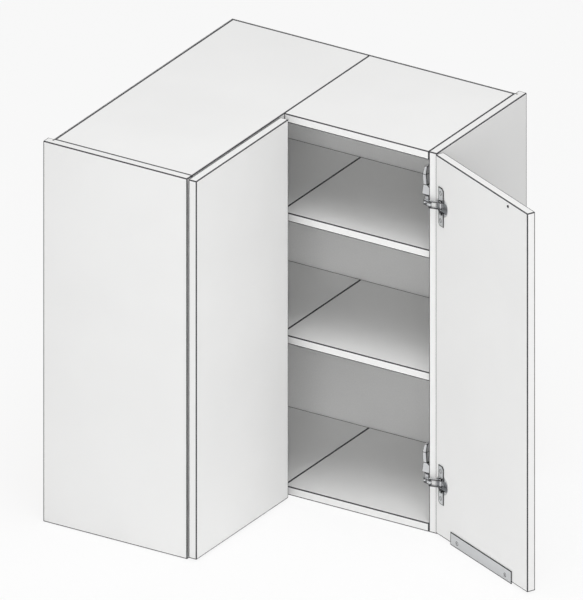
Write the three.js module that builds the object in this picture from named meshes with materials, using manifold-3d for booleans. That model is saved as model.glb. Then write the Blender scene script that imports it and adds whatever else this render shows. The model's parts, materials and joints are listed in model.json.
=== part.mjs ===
// Corner wall cabinet: an L-shaped carcass of laminated boards with two doors and two shelves.
// Millimetres, +Z up. The origin is the room corner, at the height of the cabinet's underside.
// The right leg runs along +X, with its back to the wall Y = 0.
// The left leg runs along -Y, with its back to the wall X = 0.
//
// Each leg has its own frame (s, d, z): s is measured from the outer face of the leg's end
// panel towards the room corner, d is measured from the wall towards the door.
// Each hinge line has a frame (u, v, z): u runs from the door's hinged edge along the closed
// door, v runs from the door's inner face outwards.
import * as THREE from "three";
import { mergeVertices } from "three/addons/utils/BufferGeometryUtils.js";
import Module from "manifold-3d";

// Overall sizes.
const leftLegLength = 605;
const rightLegLength = 600;
const cabinetHeight = 720;
const legDepth = 291;

// Boards and the back.
const boardThickness = 16;
const backThickness = 3;
const backFromWall = 11.7;
const grooveDepth = 6;
const seat = 0.3; // gap between pieces that bear on each other

// Shelves.
const lowerShelfTop = 292;
const upperShelfTop = 524;
const shelfRecess = 17; // shelf front behind the carcass front
const shelfSlack = 1; // between a shelf's end and the end panel

// Doors.
const doorThickness = 16;
const doorGap = 2.5; // between the carcass front and a closed door
const doorBottom = 3;
const doorTopReveal = 1;
const doorOverlay = 15.3; // how far a closed door covers the end panel, set by its hinges
const doorCornerGap = 1.5; // right door's free edge to the left door's outer face
const leftDoorSetback = 13.5; // left door's free edge to the right door's inner face
const rightDoorOpen = 155; // degrees from closed, as it stands at rest
const leftDoorOpen = 0;

// Hinges. The two links and the door make a parallelogram round the door's pivot line.
const upperHingeFromDoorTop = 92;
const lowerHingeFromDoorBottom = 98;
const armPivotFromPanel = 3;
const armPivotForward = 5;
const cupPivotFromEdge = 13;
const cupPivotDepth = 1.5;
const linkRadius = 2.8;
const pinRadius = 1.2;
const tongueHalf = 2;
const shortLinkInner = 2.4;
const shortLinkOuter = 4.4;
const longLinkInner = 4.8;
const longLinkOuter = 6.8;
const cupRadius = 17.5;
const cupInset = 3; // door's hinged edge to the cup
const cupDepth = 11.2;
const cupProud = 0.6;
const cupWall = 1;
const cupFloor = 0.7;
const pocketHalf = 9;
const wingBeforeCup = 9.9; // from the cup's centre towards the hinged edge
const wingWidth = 15.5;
const wingHeight = 72.6;
const wingThickness = 1.5;
const wingChamfer = 4;
const cupScrewBeforeCup = 2.9;
const housingBeforeCup = 4.3; // the raised housing beside the links, as the wings
const housingWidth = 7.8;
const housingHeight = 27;
const housingProud = 4.3;
const cupScrewSpacing = 51.4;
const plateScrewFromFront = 37;
const plateScrewSpacing = 32;
const plateThickness = 2.7;
const armThickness = 13;
const armHalf = 7;
const armLength = 60;
const finHeight = 62;
const finFromFront = 3;
const finDepth = 14;
const plateFromFront = 15;

// Grip strip, bumper and screws on a door's inner face.
const stripLength = 192;
const stripHeight = 24;
const stripThickness = 1.2;
const stripDrop = 3; // below the door's lower edge
const stripScrewSpacing = 151;
const stripScrewHeight = 9.6;
const bumperFromEdge = 228;
const bumperFromTop = 9;
const bumperRadius = 2.5;
const bumperThickness = 1.8;
const screwRadius = 1.6;
const screwHeadRadius = 3.2;
const screwHeadHeight = 0.4;
const screwLength = 10;

// Hangers, dowels and shelf pins.
const hangerWidth = 18;
const hangerDepth = 60;
const hangerHeight = 55;
const hangerBelowTop = 25;
const hookReach = 12;
const hookLip = 3.5;
const hookBearing = 28; // bearing face above the hanger's underside
const hookLipBottom = 15;
const hookNeck = 20;
const pegRadius = 4.7;
const pegLength = 10;
const dowelRadius = 4;
const dowelLength = 35;
const dowelInPanel = 12;
const dowelFromWall = 150;
const shelfPinRadius = 2.4;
const shelfPinCollar = 4;
const shelfPinCollarThickness = 0.6;
const shelfPinInPanel = 8;
const shelfPinOut = 9;
const rearPinFromWall = 45;
const frontPinFromShelfFront = 30;

// Sides of round pieces.
const smallRound = 10;
const largeRound = 32;

// Heights and places that follow from the sizes above.
const rearInset = backFromWall + backThickness + seat; // the boards' rear edges
const doorTop = cabinetHeight - doorTopReveal;
const doorSideReveal = boardThickness - doorOverlay; // from the end panel's outer face
const innerFaceU = doorOverlay; // the end panel's inner face
const frontPlane = legDepth + doorGap; // the closed doors' inner faces
const armPivot = [innerFaceU + armPivotFromPanel, armPivotForward];
const cupFromEdge = cupInset + cupRadius;
const cupPivot = [cupPivotFromEdge, cupPivotDepth];
const cupScrewInset = cupFromEdge - cupScrewBeforeCup;
const hingeHeights = {
  upper: doorTop - upperHingeFromDoorTop,
  lower: doorBottom + lowerHingeFromDoorBottom,
};
const levels = {
  bottom_board: { top: boardThickness, recess: 0, slack: seat, dowelled: true },
  lower_shelf: { top: lowerShelfTop, recess: shelfRecess, slack: shelfSlack, dowelled: false },
  upper_shelf: { top: upperShelfTop, recess: shelfRecess, slack: shelfSlack, dowelled: false },
  top_board: { top: cabinetHeight, recess: 0, slack: seat, dowelled: true },
};
const legs = {
  left: {
    length: leftLegLength,
    board: "long",
    doorWidth: leftLegLength - frontPlane - leftDoorSetback - doorSideReveal,
    open: leftDoorOpen,
  },
  right: {
    length: rightLegLength,
    board: "short",
    doorWidth: rightLegLength - frontPlane - doorThickness - doorCornerGap - doorSideReveal,
    open: rightDoorOpen,
  },
};

const finish = {
  laminate: new THREE.MeshStandardMaterial({ color: 0xf3f3f0, roughness: 0.55, metalness: 0 }),
  hardboard: new THREE.MeshStandardMaterial({ color: 0xe9e7e1, roughness: 0.7, metalness: 0 }),
  steel: new THREE.MeshStandardMaterial({ color: 0xb9bcc0, roughness: 0.32, metalness: 1 }),
  aluminium: new THREE.MeshStandardMaterial({ color: 0xc9cbcd, roughness: 0.38, metalness: 1 }),
  plastic: new THREE.MeshStandardMaterial({ color: 0xdfe0e0, roughness: 0.45, metalness: 0 }),
  rubber: new THREE.MeshStandardMaterial({ color: 0x3c3d40, roughness: 0.6, metalness: 0 }),
  beech: new THREE.MeshStandardMaterial({ color: 0xc9a677, roughness: 0.75, metalness: 0 }),
};

const wasm = await Module();
wasm.setup();

// ---- Solids and their geometry ----

function solidOf(geometry) {
  const bare = geometry.clone();
  bare.deleteAttribute("normal");
  bare.deleteAttribute("uv");
  const merged = mergeVertices(bare, 1e-4);
  const vertProperties = merged.attributes.position.array;
  const triVerts = new Uint32Array(merged.index.array);
  return new wasm.Manifold(new wasm.Mesh({ numProp: 3, vertProperties, triVerts }));
}

function geometryOf(solid) {
  const mesh = solid.getMesh();
  const geometry = new THREE.BufferGeometry();
  geometry.setAttribute("position", new THREE.BufferAttribute(mesh.vertProperties, 3));
  geometry.setIndex(new THREE.BufferAttribute(mesh.triVerts, 1));
  geometry.computeVertexNormals();
  return geometry;
}

// The first geometry with the others joined to it, and then the cuts taken out.
function shaped(bodies, cuts = []) {
  let solid = solidOf(bodies[0]);
  for (const body of bodies.slice(1)) solid = solid.add(solidOf(body));
  for (const cut of cuts) solid = solid.subtract(solidOf(cut));
  return geometryOf(solid);
}

function block([x0, x1], [y0, y1], [z0, z1]) {
  const geometry = new THREE.BoxGeometry(x1 - x0, y1 - y0, z1 - z0);
  return geometry.translate((x0 + x1) / 2, (y0 + y1) / 2, (z0 + z1) / 2);
}

// A rod along the first, second or third axis, from one end to the other, centred on the
// two remaining coordinates in their order.
function rod(axis, [from, to], [p, q], radius, sides = smallRound) {
  const geometry = new THREE.CylinderGeometry(radius, radius, to - from, sides);
  const middle = (from + to) / 2;
  if (axis === 0) return geometry.rotateZ(-Math.PI / 2).translate(middle, p, q);
  if (axis === 1) return geometry.translate(p, middle, q);
  return geometry.rotateX(Math.PI / 2).translate(p, q, middle);
}

function outline(points) {
  return new THREE.Shape(points.map(([x, y]) => new THREE.Vector2(x, y)));
}

function extruded(shape, length) {
  return new THREE.ExtrudeGeometry(shape, { depth: length, bevelEnabled: false, curveSegments: 3 });
}

// An outline in the plan, standing from one height to the other.
function upright(shape, [z0, z1]) {
  return extruded(shape, z1 - z0).translate(0, 0, z0);
}

// An outline in (first axis, z), carried along the second axis.
function carriedOut(points, [y0, y1]) {
  return extruded(outline(points), y1 - y0).rotateX(Math.PI / 2).translate(0, y1, 0);
}

// An outline in (second axis, z), carried along the first axis.
function carriedAlong(points, [x0, x1]) {
  const turn = new THREE.Matrix4().makeBasis(
    new THREE.Vector3(0, 1, 0),
    new THREE.Vector3(0, 0, 1),
    new THREE.Vector3(1, 0, 0),
  );
  return extruded(outline(points), x1 - x0).applyMatrix4(turn).translate(x0, 0, 0);
}

// A bar with round ends between two points of the plan.
function bar([x0, y0], [x1, y1], radius) {
  const angle = Math.atan2(y1 - y0, x1 - x0);
  const quarter = Math.PI / 2;
  const shape = new THREE.Shape();
  shape.absarc(x0, y0, radius, angle + quarter, angle + 3 * quarter);
  shape.absarc(x1, y1, radius, angle - quarter, angle + quarter);
  shape.closePath();
  return shape;
}

function piece(name, material, geometry) {
  const mesh = new THREE.Mesh(geometry, material);
  mesh.name = name;
  return mesh;
}

// ---- Places shared by pieces that fit each other ----

function boardSpan(leg, level) {
  const seamAt = rightLegLength - (legDepth - level.recess) - seat;
  const end = leg === legs.left ? leg.length - rearInset : seamAt;
  return [boardThickness + level.slack, end];
}

function dowelHeight(level) {
  return level.top - boardThickness / 2;
}

function shelfPinPlaces() {
  const rear = rearPinFromWall;
  const front = legDepth - shelfRecess - frontPinFromShelfFront;
  const shelves = Object.entries(levels).filter(([, level]) => !level.dowelled);
  return shelves.flatMap(([name, level]) => {
    const z = level.top - boardThickness - seat - shelfPinRadius;
    return [
      { name: `${name}_pin_rear`, d: rear, z },
      { name: `${name}_pin_front`, d: front, z },
    ];
  });
}

function hangerSpan() {
  const top = cabinetHeight - hangerBelowTop;
  return { bottom: top - hangerHeight, top, front: rearInset + hangerDepth };
}

function pegPlaces() {
  const { bottom, top, front } = hangerSpan();
  return [
    [(rearInset + front) / 2, bottom + 2 * pegRadius],
    [(rearInset + front) / 2, top - 2 * pegRadius],
  ];
}

function screwBore(axis, span, place) {
  return rod(axis, span, place, screwRadius + seat);
}

// ---- Carcass ----

// The end panel: a groove for the back, and blind bores for dowels, pins, pegs and hinge screws.
function endPanel(side) {
  const innerFace = boardThickness;
  const intoPanel = (depth) => [innerFace - depth, innerFace + 1];
  const groove = block(
    [innerFace - grooveDepth, innerFace + 1],
    [backFromWall - seat, rearInset],
    [-1, cabinetHeight + 1],
  );
  const fixedLevels = Object.values(levels).filter((level) => level.dowelled);
  const dowels = fixedLevels.map((level) =>
    rod(0, intoPanel(dowelInPanel + seat), [dowelFromWall, dowelHeight(level)], dowelRadius + seat),
  );
  const pins = shelfPinPlaces().map(({ d, z }) =>
    rod(0, intoPanel(shelfPinInPanel + seat), [d, z], shelfPinRadius + seat),
  );
  const pegs = pegPlaces().map((place) =>
    rod(0, intoPanel(pegLength + seat), place, pegRadius + seat),
  );
  const screws = Object.values(hingeHeights).flatMap((height) =>
    [-1, 1].map((way) => {
      const z = height + (way * plateScrewSpacing) / 2;
      return screwBore(0, intoPanel(screwLength + seat), [legDepth - plateScrewFromFront, z]);
    }),
  );
  const panel = block([0, boardThickness], [0, legDepth], [0, cabinetHeight]);
  const bores = [groove, ...dowels, ...pins, ...pegs, ...screws];
  return piece(`${side}_end_panel`, finish.laminate, shaped([panel], bores));
}

// One board of a level: the long one fills the left leg and the corner, the short one the rest.
function levelBoard(name, side) {
  const leg = legs[side];
  const level = levels[name];
  const [start, end] = boardSpan(leg, level);
  const front = legDepth - level.recess;
  const z = dowelHeight(level);
  const bore = dowelRadius + seat;
  const half = dowelLength / 2 + seat;
  const board = block([start, end], [rearInset, front], [level.top - boardThickness, level.top]);
  const cuts = [];
  if (level.dowelled) {
    const reach = boardThickness + dowelLength - dowelInPanel + seat;
    cuts.push(rod(0, [start - 1, reach], [dowelFromWall, z], bore));
  }
  if (leg === legs.left) {
    cuts.push(rod(1, [front - half, front + 1], [leg.length - dowelFromWall, z], bore));
  } else {
    cuts.push(rod(0, [end - half, end + 1], [dowelFromWall, z], bore));
  }
  return piece(`${name}_${leg.board}`, finish.laminate, shaped([board], cuts));
}

// A thin back in the end panel's groove, with a window for the hanger's hook.
function backPanel(side) {
  const leg = legs[side];
  const cornerEnd = side === "left" ? leg.length - backFromWall : leg.length - rearInset;
  const sheet = block(
    [boardThickness - grooveDepth + seat, cornerEnd],
    [backFromWall, backFromWall + backThickness],
    [0, cabinetHeight],
  );
  const { bottom, top } = hangerSpan();
  const clear = 2;
  const window = block(
    [boardThickness + seat, boardThickness + seat + hangerWidth + 2 * clear],
    [0, rearInset + 1],
    [bottom + hookLipBottom - clear, top],
  );
  return piece(`${side}_back_panel`, finish.hardboard, shaped([sheet], [window]));
}

// A hanger: a body pegged into the end panel, and a hook through the back for the wall rail.
function hanger(side) {
  const { bottom, top, front } = hangerSpan();
  const rear = rearInset + seat;
  const hookRear = rear - hookReach;
  const neckTop = bottom + hookBearing + hookNeck;
  const points = [
    [rear, bottom],
    [front, bottom],
    [front, top],
    [rear, top],
    [rear, neckTop],
    [hookRear, neckTop],
    [hookRear, bottom + hookLipBottom],
    [hookRear + hookLip, bottom + hookLipBottom],
    [hookRear + hookLip, bottom + hookBearing],
    [rear, bottom + hookBearing],
  ];
  const side0 = boardThickness + seat;
  const body = carriedAlong(points, [side0, side0 + hangerWidth]);
  const pegs = pegPlaces().map((place) =>
    rod(0, [boardThickness - pegLength, side0 + 1], place, pegRadius),
  );
  const heads = [bottom + hangerHeight / 4, top - hangerHeight / 4].map((z) =>
    rod(1, [front - 1, front + 2], [side0 + hangerWidth / 2, z], pegRadius),
  );
  return piece(`${side}_hanger`, finish.plastic, shaped([body, ...pegs, ...heads]));
}

// A wooden dowel, chamfered at both ends.
function dowel(name, middle, place) {
  const half = dowelLength / 2;
  const chamfer = 1;
  const profile = [
    [0, -half],
    [dowelRadius - chamfer, -half],
    [dowelRadius, chamfer - half],
    [dowelRadius, half - chamfer],
    [dowelRadius - chamfer, half],
    [0, half],
  ].map(([r, along]) => new THREE.Vector2(r, along));
  const geometry = new THREE.LatheGeometry(profile, smallRound);
  geometry.rotateZ(-Math.PI / 2).translate(middle, place[0], place[1]);
  return piece(name, finish.beech, shaped([geometry]));
}

function endDowels(side) {
  const fixedLevels = Object.entries(levels).filter(([, level]) => level.dowelled);
  const middle = boardThickness - dowelInPanel + dowelLength / 2;
  return fixedLevels.map(([name, level]) =>
    dowel(`${name}_${side}_dowel`, middle, [dowelFromWall, dowelHeight(level)]),
  );
}

// The dowels across the seams between long and short boards, in the right leg's frame.
function seamDowels() {
  return Object.entries(levels).map(([name, level]) => {
    const middle = boardSpan(legs.right, level)[1] + seat / 2;
    return dowel(`${name}_seam_dowel`, middle, [dowelFromWall, dowelHeight(level)]);
  });
}

// A shelf pin: a shank in the end panel, a collar on its face, and a stub under the shelf.
function shelfPins(side) {
  const face = boardThickness;
  const collarEnd = face + seat + shelfPinCollarThickness;
  return shelfPinPlaces().map(({ name, d, z }) => {
    const shank = rod(0, [face - shelfPinInPanel, face + shelfPinOut], [d, z], shelfPinRadius);
    const collar = rod(0, [face + seat, collarEnd], [d, z], shelfPinCollar);
    return piece(`${side}_${name}`, finish.steel, shaped([shank, collar]));
  });
}

// ---- Hinges, in the frame of the hinge line, around height 0 ----

function plus([x0, y0], [x1, y1]) {
  return [x0 + x1, y0 + y1];
}

// The mounting plate on the end panel's inner face, with its fin above the arm.
function mountingPlate(name) {
  const base = innerFaceU + seat;
  const top = base + plateThickness;
  const rear = -doorGap - plateScrewFromFront - 9;
  const finFront = -doorGap - finFromFront;
  const finFoot = armHalf + 2 * seat;
  const fin = [
    [base, finFoot],
    [top + 13.5, finFoot],
    [top + 11, finHeight * 0.42],
    [top + 12.5, finHeight * 0.74],
    [top + 8, finHeight],
    [top + 2, finHeight],
    [top + 4.5, finHeight * 0.74],
    [top + 3, finHeight * 0.44],
    [base, finHeight * 0.36],
  ];
  const half = plateScrewSpacing / 2;
  const plate = block([base, top], [rear, -doorGap - plateFromFront], [-half - 6, half + 6]);
  const screws = [-half, half].flatMap((z) => {
    const place = [-doorGap - plateScrewFromFront, z];
    return [
      rod(0, [innerFaceU - screwLength, top], place, screwRadius),
      rod(0, [top - seat, top + 1], place, screwHeadRadius),
    ];
  });
  const bodies = [plate, carriedOut(fin, [finFront - finDepth, finFront]), ...screws];
  return piece(`${name}_mounting_plate`, finish.steel, shaped(bodies));
}

// The fixed arm: a box over the plate, and a tongue that carries the short link's pin.
function hingeArm(name) {
  const [pivotU, pivotV] = armPivot;
  const underside = innerFaceU + plateThickness + 2 * seat;
  const neckSide = pivotU - linkRadius + 0.6;
  const noseV = -doorGap - 0.5;
  const body = outline([
    [underside, -armLength],
    [underside + armThickness, -armLength],
    [underside + armThickness, -14],
    [underside + armThickness * 0.6, -6],
    [pivotU + linkRadius, noseV],
    [neckSide, noseV],
    [neckSide, -12],
    [underside, -16],
  ]);
  const tongue = bar([pivotU, noseV - linkRadius], [pivotU, pivotV], linkRadius);
  const bodies = [
    upright(body, [-armHalf, armHalf]),
    upright(tongue, [-tongueHalf, tongueHalf]),
    rod(2, [seat - shortLinkOuter, shortLinkOuter - seat], armPivot, pinRadius),
  ];
  return piece(`${name}_arm`, finish.steel, shaped(bodies));
}

// The short link, forked round the arm's tongue; its far pin carries the long link.
function shortLink(name) {
  const elbow = cupPivot;
  const forkReach = linkRadius + 1.7;
  const bodies = [
    upright(bar([0, 0], elbow, linkRadius), [-shortLinkOuter, shortLinkOuter]),
    rod(2, [seat - longLinkOuter, longLinkOuter - seat], elbow, pinRadius),
  ];
  const cuts = [
    rod(2, [-shortLinkInner, shortLinkInner], [0, 0], forkReach),
    rod(2, [-armHalf, armHalf], [0, 0], pinRadius + seat),
  ];
  return piece(`${name}_short_link`, finish.steel, shaped(bodies, cuts));
}

// The long link: two cheeks from the elbow to the pin that turns in the cup.
function longLink(name) {
  const cupEnd = [-armPivot[0], -armPivot[1]];
  const cheek = bar([0, 0], cupEnd, linkRadius);
  const pinHalf = pocketHalf + 1.4;
  const bodies = [
    upright(cheek, [longLinkInner, longLinkOuter]),
    rod(2, [-pinHalf, pinHalf], cupEnd, pinRadius),
    upright(cheek, [-longLinkOuter, -longLinkInner]),
  ];
  const cuts = [rod(2, [-armHalf, armHalf], [0, 0], pinRadius + seat)];
  return piece(`${name}_long_link`, finish.steel, shaped(bodies, cuts));
}

// The cup in the door, with its screwed wings, a raised housing and the pocket between the
// housing's two halves, which the links fold into.
function hingeCup(name) {
  const centre = [cupFromEdge, 0];
  const pocketRound = cupRadius - cupWall;
  const halfHeight = wingHeight / 2;
  const u0 = cupFromEdge - wingBeforeCup;
  const u1 = u0 + wingWidth;
  const wings = carriedOut(
    [
      [u0, wingChamfer - halfHeight],
      [u0 + wingChamfer, -halfHeight],
      [u1, -halfHeight],
      [u1, halfHeight - wingChamfer],
      [u1 - wingChamfer, halfHeight],
      [u0, halfHeight],
    ],
    [-seat - wingThickness, -seat],
  );
  const screws = [-1, 1].flatMap((way) => {
    const place = [cupScrewInset, (way * cupScrewSpacing) / 2];
    const head = [-seat - wingThickness - screwHeadHeight, -seat];
    return [
      rod(1, [-seat - wingThickness, screwLength], place, screwRadius),
      rod(1, head, place, screwHeadRadius),
    ];
  });
  const housingFrom = cupFromEdge - housingBeforeCup;
  const housing = block(
    [housingFrom, housingFrom + housingWidth],
    [-housingProud, -seat],
    [-housingHeight / 2, housingHeight / 2],
  );
  const shell = rod(1, [-cupProud, cupDepth], centre, cupRadius, largeRound);
  const round = rod(1, [-5, cupDepth - cupFloor], centre, pocketRound, largeRound);
  const slot = block([-cupRadius, 3 * cupRadius], [-5, cupDepth], [-pocketHalf, pocketHalf]);
  const pocket = geometryOf(solidOf(round).intersect(solidOf(slot)));
  const pinBore = rod(2, [-pocketHalf - 1.7, pocketHalf + 1.7], cupPivot, pinRadius + seat);
  const geometry = shaped([shell, wings, housing, ...screws], [pocket, pinBore]);
  return piece(`${name}_cup`, finish.steel, geometry);
}

// ---- Doors, in the frame of the hinge line ----

function stripStart(width) {
  return (width - stripLength) / 2;
}

function stripScrewPlaces(width) {
  const z = doorBottom - stripDrop + stripScrewHeight;
  return [-1, 1].map((way) => [width / 2 + (way * stripScrewSpacing) / 2, z]);
}

function doorPanel(side, width) {
  const panel = block([0, width], [0, doorThickness], [doorBottom, doorTop]);
  const intoDoor = [-1, screwLength + seat];
  const cuts = Object.values(hingeHeights).flatMap((z) => [
    rod(1, [-1, cupDepth + seat], [cupFromEdge, z], cupRadius + seat, largeRound),
    screwBore(1, intoDoor, [cupScrewInset, z - cupScrewSpacing / 2]),
    screwBore(1, intoDoor, [cupScrewInset, z + cupScrewSpacing / 2]),
  ]);
  cuts.push(...stripScrewPlaces(width).map((place) => screwBore(1, intoDoor, place)));
  return piece(`${side}_door`, finish.laminate, shaped([panel], cuts));
}

// The grip strip stands a little below the door, for the fingers to pull at.
function gripStrip(side, width) {
  const start = stripStart(width);
  const low = doorBottom - stripDrop;
  const strip = block(
    [start, start + stripLength],
    [-seat - stripThickness, -seat],
    [low, low + stripHeight],
  );
  const holes = stripScrewPlaces(width).map((place) => screwBore(1, [-5, 5], place));
  return piece(`${side}_grip_strip`, finish.aluminium, shaped([strip], holes));
}

function gripScrews(side, width) {
  const under = -seat - stripThickness - seat;
  return stripScrewPlaces(width).map((place, index) => {
    const shank = rod(1, [under, screwLength], place, screwRadius);
    const head = rod(1, [under - screwHeadHeight, under], place, screwHeadRadius);
    return piece(`${side}_grip_screw_${index + 1}`, finish.steel, shaped([shank, head]));
  });
}

function bumper(side) {
  const place = [bumperFromEdge, doorTop - bumperFromTop];
  const pad = rod(1, [-seat - bumperThickness, -seat], place, bumperRadius);
  return piece(`${side}_bumper`, finish.rubber, shaped([pad]));
}

// ---- Assembly ----

function groupOf(children) {
  const group = new THREE.Group();
  group.add(...children);
  return group;
}

function placed(object, u, v, z) {
  object.position.set(u, v, z);
  return object;
}

// Both hinges, both links at the door's angle, and the door itself.
function hungDoor(side) {
  const { doorWidth, open } = legs[side];
  const angle = THREE.MathUtils.degToRad(open);
  const elbowOut = new THREE.Vector2(...cupPivot).rotateAround(new THREE.Vector2(), angle);
  const elbow = plus(armPivot, [elbowOut.x, elbowOut.y]);
  const door = groupOf([
    doorPanel(side, doorWidth),
    gripStrip(side, doorWidth),
    ...gripScrews(side, doorWidth),
    bumper(side),
  ]);
  const fixed = groupOf([door]);
  for (const [height, z] of Object.entries(hingeHeights)) {
    const name = `${side}_${height}`;
    const short = groupOf([shortLink(name)]);
    short.rotation.z = angle;
    fixed.add(placed(groupOf([mountingPlate(name), hingeArm(name)]), 0, 0, z));
    fixed.add(placed(short, armPivot[0], armPivot[1], z));
    fixed.add(placed(groupOf([longLink(name)]), elbow[0], elbow[1], z));
    door.add(placed(hingeCup(name), 0, 0, z));
  }
  door.rotation.z = angle;
  return placed(fixed, doorSideReveal, frontPlane, 0);
}

function leg(side) {
  return groupOf([
    endPanel(side),
    ...Object.keys(levels).map((name) => levelBoard(name, side)),
    backPanel(side),
    hanger(side),
    ...endDowels(side),
    ...shelfPins(side),
    hungDoor(side),
  ]);
}

const rightLeg = leg("right");
rightLeg.add(...seamDowels());
rightLeg.rotation.z = Math.PI;
rightLeg.position.set(rightLegLength, 0, 0);

// The left leg is the right one's mirror image: s runs along +Y and d along +X.
const leftLeg = leg("left");
leftLeg.rotation.z = Math.PI / 2;
leftLeg.scale.y = -1;
leftLeg.position.set(0, -leftLegLength, 0);

const cabinet = groupOf([leftLeg, rightLeg]);
cabinet.name = "corner_wall_cabinet";

export default cabinet;
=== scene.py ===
"""Corner wall cabinet in white laminated board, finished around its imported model.

Lengths are metres, and sizes written in millimetres go through mm(). Each leg of the cabinet
has a frame (s, d, z): s from the end panel's outer face towards the room corner, d from the
wall towards the door. Each hinge line has a frame (u, v, z): u along the closed door from its
hinged edge, v outwards from its inner face.
"""

import json
import math

import bmesh
import bpy
import numpy as np
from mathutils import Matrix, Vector

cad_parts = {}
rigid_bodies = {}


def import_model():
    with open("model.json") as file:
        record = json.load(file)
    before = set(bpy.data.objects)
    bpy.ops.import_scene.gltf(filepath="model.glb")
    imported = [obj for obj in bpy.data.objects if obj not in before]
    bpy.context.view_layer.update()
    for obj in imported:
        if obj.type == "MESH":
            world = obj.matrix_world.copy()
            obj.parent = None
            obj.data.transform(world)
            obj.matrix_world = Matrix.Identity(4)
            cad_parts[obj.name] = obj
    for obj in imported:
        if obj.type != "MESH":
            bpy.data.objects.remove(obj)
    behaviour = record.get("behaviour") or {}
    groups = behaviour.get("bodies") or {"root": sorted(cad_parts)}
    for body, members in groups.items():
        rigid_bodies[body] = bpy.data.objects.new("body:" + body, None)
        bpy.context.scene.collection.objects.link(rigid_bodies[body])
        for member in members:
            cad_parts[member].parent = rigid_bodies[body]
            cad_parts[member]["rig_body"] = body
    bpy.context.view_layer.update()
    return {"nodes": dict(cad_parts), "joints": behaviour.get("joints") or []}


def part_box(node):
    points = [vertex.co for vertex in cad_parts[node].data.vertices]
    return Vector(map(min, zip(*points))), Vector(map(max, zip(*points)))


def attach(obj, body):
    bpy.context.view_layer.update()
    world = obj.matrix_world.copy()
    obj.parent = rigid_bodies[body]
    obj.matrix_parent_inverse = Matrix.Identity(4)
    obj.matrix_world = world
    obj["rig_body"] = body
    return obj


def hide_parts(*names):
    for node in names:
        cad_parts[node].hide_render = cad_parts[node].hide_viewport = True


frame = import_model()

bl_info = {
    "name": "Corner wall cabinet",
    "version": (1, 0, 0),
    "blender": (4, 5, 0),
    "location": "View3D > Sidebar > Cabinet",
    "description": "Builds the boards, doors, hinges and fittings of a corner wall cabinet",
    "category": "Object",
}

SIDES = ("left", "right")
HINGES = ("upper", "lower")
SHELVES = ("lower_shelf", "upper_shelf")
FIXED_LEVELS = ("bottom_board", "top_board")
LEVELS = (*FIXED_LEVELS, *SHELVES)
BOARD_OF = {"left": "long", "right": "short"}
# ARRIS faces of boards and steel, and CORE faces of steel, are painted dark as shade.
FACE, ARRIS, BAND, REAR, CORE = range(5)  # what a face of a piece shows
ALONG, OUT, UP = range(3)  # the axes of a leg's frame and of a hinge line's frame
ROUND_SIDES, CUP_SIDES, PIN_SIDES, NAIL_SIDES = 32, 64, 24, 16
LINK_STEPS = 6  # steps in a quarter turn of a link's round ends and arrises
TINY = 1e-6
PICTURE = (583, 600)


def mm(lengths):
    return np.asarray(lengths, float) / 1000


PAST = mm(5)  # how far a cutter runs on past the face that it opens


# ---- Places, read from the frame ----


def corners(node):
    low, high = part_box(node)
    return np.array(low), np.array(high)


def joint(name):
    return next(j for j in frame["joints"] if j["name"] == name)


def pivot(name):
    return np.array(joint(name)["pos_m"])


class LegFrame:
    """(s, d, z) of one leg. The left leg is the mirror image of the right one."""

    def __init__(self, side):
        low, high = corners(f"{side}_end_panel")
        self.mirrored = side == "left"
        along = 1 if self.mirrored else 0
        self.length = -low[1] if self.mirrored else high[0]
        self.height = high[2]
        self.thickness = (high - low)[along]
        self.depth = (high - low)[1 - along]

    def row(self, points):
        s, d, z = points.T
        if self.mirrored:
            return np.stack([d, s - self.length, z], axis=1)
        return np.stack([self.length - s, -d, z], axis=1)

    def box(self, node):
        """The lowest and highest (s, d, z) of a node."""
        x, y, z = np.stack(corners(node), axis=1)
        ends = [y + self.length, x, z] if self.mirrored else [self.length - x, -y, z]
        return np.min(ends, axis=1), np.max(ends, axis=1)


class HingeFrame:
    """(u, v, z) of one hinge line; turned, it stands with the door as the door is at rest.
    Where it names its upper or lower hinge, z is the middle of that hinge."""

    def __init__(self, side, turned=False, height=None):
        self.side = side
        self.z = hinge_height(side, height) if height else None
        self.mirrored = side == "left"
        self.origin = pivot(f"{side}_door_hinge")
        self.angle = rest_angle(side) if turned else 0.0

    def row(self, points):
        u, v, z = points.T
        cosine, sine = math.cos(self.angle), math.sin(self.angle)
        u, v = u * cosine - v * sine, u * sine + v * cosine
        x, y = (v, u) if self.mirrored else (-u, -v)
        return np.stack([self.origin[0] + x, self.origin[1] + y, z], axis=1)

    def plan(self, point):
        """A point of the row frame as (u, v), before any turn."""
        x, y = (point - self.origin)[:2]
        return np.array([y, x]) if self.mirrored else np.array([-x, -y])

    def arm_pivot(self):
        return self.plan(pivot(f"{self.side}_short_link_turn"))

    def elbow(self):
        return self.plan(pivot(f"{self.side}_long_link_turn"))

    def panel_face(self):
        """u of the end panel's inner face, and v of the carcass front."""
        leg = LegFrame(self.side)
        x, y, _ = self.origin
        reveal, front = (y + leg.length, x) if self.mirrored else (leg.length - x, -y)
        return leg.thickness - reveal, leg.depth - front


def rest_angle(side):
    """How far a door stands open at rest."""
    closed_limit, _ = joint(f"{side}_door_hinge")["range_deg"]
    return math.radians(-closed_limit)


def hinge_height(side, height):
    low, high = corners(f"{side}_{height}_cup")
    return (low[2] + high[2]) / 2


def door_size(side):
    """Width, thickness, lowest and highest point of a door, from its box at rest."""
    closed_low, closed_high = corners("left_door")
    thickness = (closed_high - closed_low)[0]
    low, high = corners(f"{side}_door")
    angle = rest_angle(side)
    across = (high - low)[1 if side == "left" else 0]
    width = (across - thickness * abs(math.sin(angle))) / abs(math.cos(angle))
    return width, thickness, low[2], high[2]


# ---- Surfaces ----


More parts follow.
